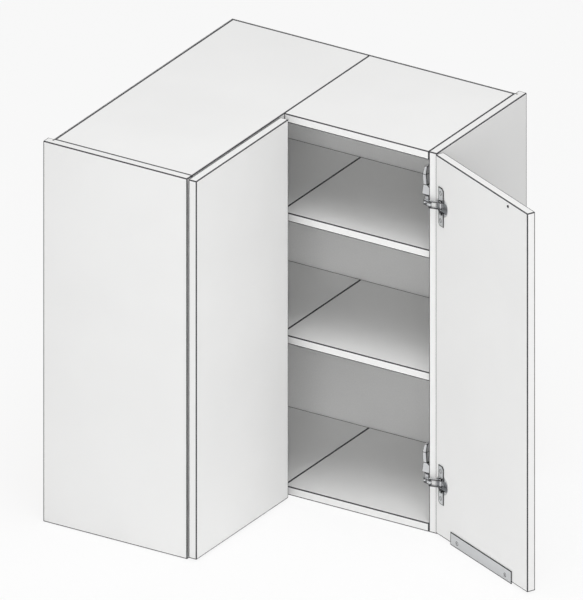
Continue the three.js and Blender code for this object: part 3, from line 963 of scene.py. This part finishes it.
def hinge_cup(metal, place):
    """A drawn cup with a pocket between two cheeks, and a plate in two halves with the
    raised housing, a chamfered corner and a screw on each."""
    z, radius, depth = place.z, metal.cup_radius, metal.cup_depth
    wall, bottom, bend, play = mm([1, 0.7, 1.5, 0.1])
    inside, floor = radius - wall, depth - bottom
    rolled_rim = mm([(0, 0.2), (0.2, 0.5), (0.5, 0.6), (1, 0.4)])  # inset, and rise off the door
    profile = [
        (0, depth), (radius - bend, depth), (radius, depth - bend),
        *((radius - inset, -rise) for inset, rise in rolled_rim),
        (inside, floor - bend), (inside - bend, floor), (0, floor),
    ]
    shells = [turned(profile, OUT, (metal.cup_from_edge, z), sides=CUP_SIDES)]
    screw_radius, screw_inset = mm([3.2, 2.9])
    for way in (-1, 1):
        shells.append(cup_cheek(metal, z, way, inside - play))
        shells.append(cup_plate(metal, z, way))
        shells.append(cup_housing(metal, z, way))
        spot = (metal.cup_from_edge - screw_inset, z + way * metal.screw_spacing / 2)
        shells.append(screw(screw_radius, OUT, spot, CUP_PLATE[0], 1))
    return shells


def cup_cheek(metal, z, way, reach):
    """The cheek that carries the long link's pin: the cup's circle beyond a chord."""
    edge, rise, under, arc_points = mm(0.4), mm(0.3), mm(0.8), 9
    span = math.acos(metal.pocket_half / reach)
    angles = np.linspace(-span, span, arc_points) + way * np.pi / 2
    core = np.stack([np.cos(angles), np.sin(angles)], axis=1) * (reach - edge)
    core[:, 1] += way * edge * (1 + metal.pocket_half / reach)
    core += np.array([metal.cup_from_edge, z])
    return rounded_prism(core, edge, -rise, metal.cup_depth - under, edge).upright(OUT)


def cup_plate(metal, z, way):
    """Half of the screwed plate: from the pocket to its tip, one outer corner chamfered."""
    edge, cut, inset, width = mm([0.45, 4, 9.9, 15.5])
    u0 = metal.cup_from_edge - inset + edge
    u1 = u0 + width - 2 * edge
    near, far = metal.pocket_half + edge, metal.wing_height / 2 - edge
    core = np.array([(u0, near), (u1, near), (u1, far - cut), (u1 - cut, far), (u0, far)])
    if way < 0:
        core = np.array([u0 + u1, 0]) - core
    core = core + np.array([0, z])
    return rounded_prism(core, edge, *CUP_PLATE, edge, metal.steel_shade_line).upright(OUT)


def cup_housing(metal, z, way):
    """Half of the raised housing beside the links."""
    inset, width, half_length, proud, seat, edge = mm([4.3, 7.8, 13.5, 4.3, 0.4, 0.8])
    start = metal.cup_from_edge - inset
    near, far = z + way * metal.pocket_half, z + way * half_length
    low = (start, -proud, min(near, far))
    high = (start + width, -seat, max(near, far))
    return board(low, high, OUT, edge, line=metal.steel_shade_line)


def cheeks(start, end, z, inner, outer, radius):
    """Two plates with round ends between two pivots, one above z and one below it."""
    # line: width of the painted shade line beside each rounded edge of a cheek.
    edge, line = mm([0.4, 0.5])
    spans = ((z + inner, z + outer), (z - outer, z - inner))
    return [
        rounded_prism(
            [start, end], radius, *span, edge, line, steps=LINK_STEPS, corner_kind=BAND
        )
        for span in spans
    ]


def short_link(metal, place):
    """A fork round the arm's tongue, solid beyond it, and the pin that carries the long
    link, with a riveted head at each end."""
    z, radius = place.z, metal.link_radius
    start, end = place.arm_pivot(), place.elbow()
    inner, outer, fork, play, edge = mm([2.3, 4.4, 8, 0.2, 0.1])
    pin_reach, head_radius, head_from, head_to, head_edge = mm([6.6, 2.0, 6.85, 7.35, 0.15])
    solid = [start + (end - start) * (fork / np.linalg.norm(end - start)), end]
    return [
        *cheeks(start, end, z, inner, outer, radius),
        rounded_prism(solid, radius - play, z - inner, z + inner, edge, corner_kind=BAND),
        cross_pin(PIVOT_RADIUS, z, pin_reach, end),
        pin(head_radius, z - head_to, z - head_from, UP, end, head_edge),
        pin(head_radius, z + head_from, z + head_to, UP, end, head_edge),
    ]


def long_link(metal, place):
    """Two cheeks outside the short link, from its pin to the pin that turns in the cup."""
    start = place.elbow()
    end = start - place.arm_pivot()
    inner, outer, pin_reach, sleeve = mm([4.8, 6.8, 10.4, 2.1])
    return [
        *cheeks(start, end, place.z, inner, outer, metal.link_radius),
        cross_pin(PIVOT_RADIUS, place.z, pin_reach, end),
        cross_pin(sleeve, place.z, inner, end),
    ]


def hinge_arm(metal, place):
    """The fixed arm: a box with a slanting nose, two adjusting screws, and the tongue that
    carries the short link."""
    z, link = place.z, metal.link_radius
    face, front = place.panel_face()
    pivot_u, pivot_v = place.arm_pivot()
    half, edge, neck_half, neck_edge, tongue_half, tongue_edge = mm([7, 0.8, 6.9, 0.4, 2, 0.3])
    lift, width, neck_width, setback, neck_inset = mm([3.3, 13, 7.8, 0.5, 2.2])
    under, nose, neck_side = face + lift, front - setback, pivot_u - neck_inset
    outer, waist = under + width, under + neck_width
    rear, shoulder, neck_root, nape = -mm([60, 14, 11, 6])
    pin_reach, screw_radius, screw_length, sunk = mm([4.1, 2.6, 5, 0.2])
    body = [(under, rear), (outer, rear), (outer, shoulder), (waist, nape), (under, nape)]
    neck = [(neck_side, neck_root), (waist, nape), (pivot_u + link, nose), (neck_side, nose)]
    tongue = [(pivot_u, nose - link), (pivot_u, pivot_v)]
    spans = [(z - reach, z + reach) for reach in (half, neck_half, tongue_half)]
    shells = [
        rounded_prism(shrunk(body, edge), edge, *spans[0], edge, metal.steel_shade_line),
        rounded_prism(shrunk(neck, neck_edge), neck_edge, *spans[1], neck_edge),
        rounded_prism(tongue, link, *spans[2], tongue_edge, steps=LINK_STEPS, corner_kind=BAND),
        cross_pin(PIVOT_RADIUS, z, pin_reach, (pivot_u, pivot_v)),
    ]
    for along in -mm([22, 46]):
        shells.append(screw(screw_radius, ALONG, (along, z), outer - sunk, -1, screw_length))
    return shells


def mounting_plate(metal, place):
    """The plate on the end panel: a base with two screws, and a fin in three tapering
    lengths that stands off the panel above the arm."""
    z = place.z
    face, front = place.panel_face()
    seat, thickness, to_screws, reach, behind, ahead = mm([0.3, 3, 37, 22, 9, 15])
    edge, screw_radius, half_spacing = mm([0.6, 3.4, 16])
    base, top, screws_v = face + seat, face + thickness, front - to_screws
    plate_low = (base, screws_v - behind, z - reach)
    plate_high = (top, front - ahead, z + reach)
    stations = [  # height, outer side and inner side of the fin, from the plate's top
        (7.7, 12.6, -1.6),
        (8.6, 13.4, -2.6),
        (22.3, 11.5, -2.6),
        (26, 11.0, 1.8),
        (27.3, 11.1, 3.0),
        (45.2, 12.4, 4.4),
        (46.4, 12.3, 4.4),
        (61, 8.3, 2.2),
        (61.9, 7.3, 3.0),
    ]
    folds = (3, 5)  # the spans between stations where the fin is folded
    drawn_height, fin_setback, fin_depth, fin_corner = mm([62, 3, 14, 1])
    heights, outer, inner = mm(stations).T
    heights = z + heights * (metal.fin_height / drawn_height)
    fin_front = front - fin_setback
    fin_rear = fin_front - fin_depth
    shells = [
        board(plate_low, plate_high, ALONG, edge, line=metal.steel_shade_line),
        strap(heights, top + inner, top + outer, fin_front, fin_rear, fin_corner, folds),
    ]
    for way in (-1, 1):
        spot = (screws_v, z + way * half_spacing)
        shells.append(screw(screw_radius, ALONG, spot, top + seat, -1))
    return shells


HINGE_PARTS = {
    "mounting_plate": mounting_plate,
    "arm": hinge_arm,
    "short_link": short_link,
    "long_link": long_link,
    "cup": hinge_cup,
}


def hinge(side, height):
    """The five pieces of one hinge, of which the cup stands with the door."""
    for part, build in HINGE_PARTS.items():
        place = HingeFrame(side, turned=part == "cup", height=height)
        steel_piece(f"{side}_{height}_{part}", build(metal_look(), place), place)


# ---- Grip strips and bumpers ----


def strip_places(side):
    """The screws of a grip strip as (u, z)."""
    spacing, above = metal_look().strip_screw_spacing, mm(9.6)
    width, _, _, _ = door_size(side)
    low, _ = corners(f"{side}_grip_strip")
    return [(width / 2 + way * spacing / 2, low[2] + above) for way in (-1, 1)]


def grip_strip(side):
    """A flat strip with countersunk holes, a little below the door's lower edge."""
    look, place = metal_look(), HingeFrame(side, turned=True)
    width, _, _, _ = door_size(side)
    low, high = corners(f"{side}_grip_strip")
    start = (width - look.strip_length) / 2
    proud, seat, corner = mm([1.5, 0.3, 0.3])
    strip_low = (start, -proud, low[2])
    strip_high = (start + look.strip_length, -seat, high[2])
    strip = board(strip_low, strip_high, OUT, corner, line=look.strip_shade_line)
    cone = mm([(0, -4), (5.4, -4), (4, -1.5), (1.8, -0.2), (1.8, 2), (0, 2)])
    holes = [turned(cone, OUT, spot, kind=CORE) for spot in strip_places(side)]
    along = math.pi / 2 if side == "left" else -place.angle
    brushed = kept(brushed_aluminium, f"{side}_strip_aluminium", look.strip_colour, along)
    # The strip's edge line and the countersinks of its holes take the dark steel: painted shade
    # along its edge and in the hollows.
    dark = steel_materials()[ARRIS]
    materials = [brushed, dark, brushed, brushed, dark]
    stand_for(f"{side}_grip_strip", carved(strip, holes), place, materials)


def grip_screws(side):
    place = HingeFrame(side, turned=True)
    radius, proud = mm([3.0, 1.85])
    for number, spot in enumerate(strip_places(side), 1):
        node = f"{side}_grip_screw_{number}"
        steel_piece(node, [screw(radius, OUT, spot, -proud, 1, ring=0)], place)


def bumper(side):
    """A soft dome stuck to the door's inner face: (R cos t, h + rise sin t) on a low rim."""
    _, _, _, top = door_size(side)
    radius, seat, flat, rise, from_edge, from_top = mm([2.5, 0.3, 0.8, 1.25, 228, 9])
    first_bend, points = 0.15, 7
    bend = np.linspace(first_bend, np.pi / 2, points)
    dome = np.stack([radius * np.cos(bend), -flat - rise * np.sin(bend)], axis=1)
    dome[-1, 0] = 0
    profile = np.concatenate([[(0, -seat), (radius, -seat), (radius, -flat)], dome])
    shell = turned(profile, OUT, (from_edge, top - from_top))
    polymer = kept(moulded, "bumper_polymer", metal_look().bumper_colour)
    place = HingeFrame(side, turned=True)
    stand_for(f"{side}_bumper", shell, place, [polymer])


# ---- Hangers, pins and dowels ----


def hanger(side):
    """A moulded body pegged to the end panel, with a steel hook through the back and two
    adjusting screws. Here faces shown as FACE are nylon and the others are steel."""
    leg = LegFrame(side)
    node = f"{side}_hanger"
    low, high = leg.box(node)
    _, back_high = leg.box(f"{side}_back_panel")
    play, off_back, setback, web, wall, corner, edge = mm([0.3, 0.6, 2, 4, 8, 1.5, 1.6])
    side0, side1 = leg.thickness + play, high[0]
    rear, front = back_high[1] + off_back, high[1] - setback
    middle = (side0 + side1) / 2
    pockets = [
        board(
            (side0 + web, rear + wall, low[2] + start),
            (side1 + PAST, front - wall, low[2] + end),
            ALONG,
            corner,
        )
        for start, end in mm([(8, 24), (31, 47)])
    ]
    body = carved(board((side0, rear, low[2]), (side1, front, high[2]), ALONG, edge), pockets)
    nylon_parts, steel_parts = [body], hook_plate(low, middle, rear)
    peg_inset, peg_radius, peg_depth, peg_root, peg_edge = mm([9.4, 4.6, 10, 1, 0.8])
    for z in (low[2] + peg_inset, high[2] - peg_inset):
        peg_from, peg_to, spot = leg.thickness - peg_depth, side0 + peg_root, (rear + front) / 2
        nylon_parts.append(pin(peg_radius, peg_from, peg_to, ALONG, (spot, z), peg_edge))
    screw_inset, screw_radius, screw_proud = mm([13.75, 4.2, 1.6])
    for z in (low[2] + screw_inset, high[2] - screw_inset):
        steel_parts.append(screw(screw_radius, OUT, (middle, z), front + screw_proud, -1))
    nylon = kept(moulded, "nylon", metal_look().nylon_colour)
    materials = [nylon, *steel_materials()[1:]]
    shells = [part.shown_as(FACE) for part in nylon_parts]
    shells += [part.shown_as(BAND) for part in steel_parts]
    stand_for(node, joined(shells), leg, materials)


def hook_plate(low, middle, rear):
    """A steel hook: a neck through the back and a lip that drops behind the wall rail."""
    half, edge, recess, lip, inside = mm([8.7, 0.8, 0.1, 3.5, 20])
    top, neck_under, lip_under = low[2] + mm([48, 28, 15])
    left, right = middle - half, middle + half
    neck = board((left, low[1] + recess, neck_under), (right, rear + inside, top), ALONG, edge)
    return [neck, board((left, low[1], lip_under), (right, low[1] + lip, top), ALONG, edge)]


def shelf_pin(side, node):
    """A turned pin: a ringed shank in the panel, a collar on its face, a plain stub."""
    leg = LegFrame(side)
    low, high = leg.box(node)
    place = ((low[1] + high[1]) / 2, (low[2] + high[2]) / 2)
    face, radius, rings = leg.thickness, mm(2.4), 11
    cut, first, pitch, root, tip, collar_from, collar_to = mm([0.25, 0.8, 0.6, 0.5, 0.6, 0.3, 0.95])
    ring = np.arange(rings)
    shank = np.stack([radius - cut * (ring % 2), low[0] + first + pitch * ring], axis=1)
    collar = mm([(3.9, 0.3), (4.0, 0.45), (3.8, 0.9)])  # radius, and height off the panel
    profile = [
        (0, low[0]), (radius - root, low[0]), *shank, (radius, face + collar_from),
        *((reach, face + height) for reach, height in collar),
        (radius, face + collar_to), (radius, high[0] - tip), (radius - tip, high[0]), (0, high[0]),
    ]
    steel_piece(node, [turned(profile, ALONG, place, sides=PIN_SIDES)], leg)


def fluted_dowel(node):
    """A fluted dowel along its box: r = R - f max(0, cos 12 t) between chamfered ends."""
    flutes, sides, depth, chamfer, end_share = 12, 72, mm(0.35), mm(1), 0.75
    low, high = corners(node)
    size, middle = high - low, (low + high) / 2
    axis = int(np.argmax(size))
    middle[axis] = 0
    radius = (size.sum() - size[axis]) / 4
    angle = np.linspace(0, 2 * np.pi, sides, endpoint=False)
    flute = depth * np.maximum(0, np.cos(flutes * angle))
    share = np.array([end_share, 1, 1, end_share])
    along = np.array([low[axis], low[axis] + chamfer, high[axis] - chamfer, high[axis]])
    reach = share[:, None] * (radius - flute)
    h = np.broadcast_to(along[:, None], reach.shape)
    rings = np.stack([reach * np.cos(angle), reach * np.sin(angle), h], axis=2)
    wood = kept(turned_beech, "turned_beech", boards_look().dowel_colour)
    stand_for(node, loft(rings).upright(axis).moved(middle), None, [wood])


# ---- Stage ----


def studio_floor(look):
    """A wide pale floor just under the cabinet. Seen directly it is nearly white, and it
    keeps the cabinet's shadow."""
    half, height, paint = 12.0, -mm(1), (0.86, 0.86, 0.86, 1)
    mesh = bpy.data.meshes.new("studio_floor")
    plan = [(-half, -half), (half, -half), (half, half), (-half, half)]
    mesh.from_pydata([(x, y, height) for x, y in plan], [], [(0, 1, 2, 3)])
    pale = Finish("pale_floor", paint, 0.9)
    seen = pale.node("ShaderNodeLightPath", {}, {}, "Is Camera Ray")
    white = pale.node("ShaderNodeEmission", {}, {"Color": (1, 1, 1, 1), "Strength": 1.0})
    lit = Wire(pale, pale.shader.outputs[0])
    both = pale.node("ShaderNodeMixShader", {}, {0: seen * look.floor_glow, 1: lit, 2: white})
    pale.feed(pale.tree.nodes["Material Output"].inputs["Surface"], both)
    mesh.materials.append(pale.material)
    floor = placed("studio_floor", mesh)


def white_sky(strength):
    """Even light from all round; the camera, gloss and glass see plain white."""
    world = bpy.data.worlds.new("white_sky")
    world.use_nodes = True
    bpy.context.scene.world = world
    tree = world.node_tree
    background = tree.nodes["Background"]
    background.inputs["Color"].default_value = (1, 1, 1, 1)
    path = tree.nodes.new("ShaderNodeLightPath")
    seen = path.outputs["Is Camera Ray"]
    for name in ("Is Glossy Ray", "Is Transmission Ray"):
        either = tree.nodes.new("ShaderNodeMath")
        either.operation = "MAXIMUM"
        tree.links.new(seen, either.inputs[0])
        tree.links.new(path.outputs[name], either.inputs[1])
        seen = either.outputs[0]
    level = tree.nodes.new("ShaderNodeMapRange")
    level.inputs["To Min"].default_value = strength
    level.inputs["To Max"].default_value = 1.0
    tree.links.new(seen, level.inputs["Value"])
    tree.links.new(level.outputs["Result"], background.inputs["Strength"])


def outwards(azimuth, elevation):
    """The direction from the cabinet at a bearing and height; bearing 0 is along -Y."""
    level = math.cos(elevation)
    return np.array([math.sin(azimuth) * level, -math.cos(azimuth) * level, math.sin(elevation)])


def facing(direction):
    """The turn that points an object's -Z along a direction, with its Y upwards."""
    return Vector(direction).to_track_quat("-Z", "Y").to_euler()


def cabinet_middle():
    left, right = LegFrame("left"), LegFrame("right")
    return np.array([right.length, -left.length, left.height]) / 2


def softbox(look, name, power, elevation):
    """A square lamp that faces the cabinet's middle, and isn't mirrored in satin boards."""
    direction = outwards(look.lamp_azimuth, elevation)
    lamp = bpy.data.lights.new(name, "AREA")
    lamp.shape = "SQUARE"
    lamp.size = look.lamp_size
    lamp.energy = power
    box = placed(name, lamp)
    box.location = cabinet_middle() + direction * look.lamp_distance
    box.rotation_euler = facing(-direction)
    box.visible_glossy = False


def parallel_camera(look):
    """A parallel view at the drawing's bearing. The cabinet's middle shows at the aimed
    column and row of the picture."""
    back = outwards(look.azimuth, look.elevation)
    across = np.array([math.cos(look.azimuth), math.sin(look.azimuth), 0.0])
    up = np.cross(back, across)
    shift_across = (PICTURE[0] / 2 - look.aim_across) / look.pixels_per_metre
    shift_down = (PICTURE[1] / 2 - look.aim_down) / look.pixels_per_metre
    distance = 6.0
    camera = placed("camera", bpy.data.cameras.new("camera"))
    camera.data.type = "ORTHO"
    camera.data.ortho_scale = max(PICTURE) / look.pixels_per_metre
    aim = cabinet_middle() + across * shift_across - up * shift_down
    camera.location = aim + back * distance
    camera.rotation_euler = facing(-back)
    bpy.context.scene.camera = camera


# ---- Operators ----


class CABINET_OT_boards(bpy.types.Operator):
    """Build the end panels and the boards of every level"""

    bl_idname = "cabinet.boards"
    bl_label = "Boards"

    def execute(self, context):
        for side in SIDES:
            end_panel(side)
            for level in LEVELS:
                level_board(level, side)
            for level in FIXED_LEVELS:
                cam_caps(level, side)
        return {"FINISHED"}


class CABINET_OT_backs(bpy.types.Operator):
    """Build the thin backs and their nails"""

    bl_idname = "cabinet.backs"
    bl_label = "Backs"

    def execute(self, context):
        for side in SIDES:
            back_panel(side)
            back_nails(side)
        return {"FINISHED"}


class CABINET_OT_doors(bpy.types.Operator):
    """Build the two doors"""

    bl_idname = "cabinet.doors"
    bl_label = "Doors"

    def execute(self, context):
        for side in SIDES:
            door(side)
        return {"FINISHED"}


class CABINET_OT_hinges(bpy.types.Operator):
    """Build the four hinges from plate to cup"""

    bl_idname = "cabinet.hinges"
    bl_label = "Hinges"

    def execute(self, context):
        for side in SIDES:
            for height in HINGES:
                hinge(side, height)
        return {"FINISHED"}


class CABINET_OT_grips(bpy.types.Operator):
    """Build the grip strips, their screws and the bumpers"""

    bl_idname = "cabinet.grips"
    bl_label = "Grip strips"

    def execute(self, context):
        for side in SIDES:
            grip_strip(side)
            grip_screws(side)
            bumper(side)
        return {"FINISHED"}


class CABINET_OT_fittings(bpy.types.Operator):
    """Build the hangers, shelf pins and dowels"""

    bl_idname = "cabinet.fittings"
    bl_label = "Hangers, pins and dowels"

    def execute(self, context):
        for side in SIDES:
            hanger(side)
            for shelf in SHELVES:
                for end in ("front", "rear"):
                    shelf_pin(side, f"{side}_{shelf}_pin_{end}")
        for node in sorted(frame["nodes"]):
            if node.endswith("_dowel"):
                fluted_dowel(node)
        return {"FINISHED"}


class CABINET_OT_stage(bpy.types.Operator):
    """Set the floor, the light and the camera"""

    bl_idname = "cabinet.stage"
    bl_label = "Stage"

    def execute(self, context):
        look = context.scene.cabinet_stage
        context.scene.view_settings.view_transform = "Standard"
        studio_floor(look)
        white_sky(look.sky)
        softbox(look, "front_lamp", look.front_power, look.front_elevation)
        softbox(look, "top_lamp", look.top_power, look.top_elevation)
        parallel_camera(look)
        return {"FINISHED"}


OPERATORS = (
    CABINET_OT_boards,
    CABINET_OT_backs,
    CABINET_OT_doors,
    CABINET_OT_hinges,
    CABINET_OT_grips,
    CABINET_OT_fittings,
    CABINET_OT_stage,
)
SETTINGS = {
    "cabinet_boards": CabinetBoards,
    "cabinet_metal": CabinetMetal,
    "cabinet_stage": CabinetStage,
}


class CABINET_PT_parts(bpy.types.Panel):
    """The cabinet's parts and their settings"""

    bl_label = "Corner wall cabinet"
    bl_idname = "CABINET_PT_parts"
    bl_space_type = "VIEW_3D"
    bl_region_type = "UI"
    bl_category = "Cabinet"

    def draw(self, context):
        for operator in OPERATORS:
            self.layout.operator(operator.bl_idname)
        for name, group in SETTINGS.items():
            box = self.layout.box()
            for setting in group.__annotations__:
                box.prop(getattr(context.scene, name), setting)


CLASSES = (*SETTINGS.values(), *OPERATORS, CABINET_PT_parts)


def register():
    for cls in CLASSES:
        bpy.utils.register_class(cls)
    for name, group in SETTINGS.items():
        setattr(bpy.types.Scene, name, bpy.props.PointerProperty(type=group))


def unregister():
    for name in SETTINGS:
        delattr(bpy.types.Scene, name)
    for cls in reversed(CLASSES):
        bpy.utils.unregister_class(cls)


def main():
    register()
    bpy.ops.cabinet.boards()
    bpy.ops.cabinet.backs()
    bpy.ops.cabinet.doors()
    bpy.ops.cabinet.hinges()
    bpy.ops.cabinet.grips()
    bpy.ops.cabinet.fittings()
    bpy.ops.cabinet.stage()


if __name__ == "__main__":
    main()
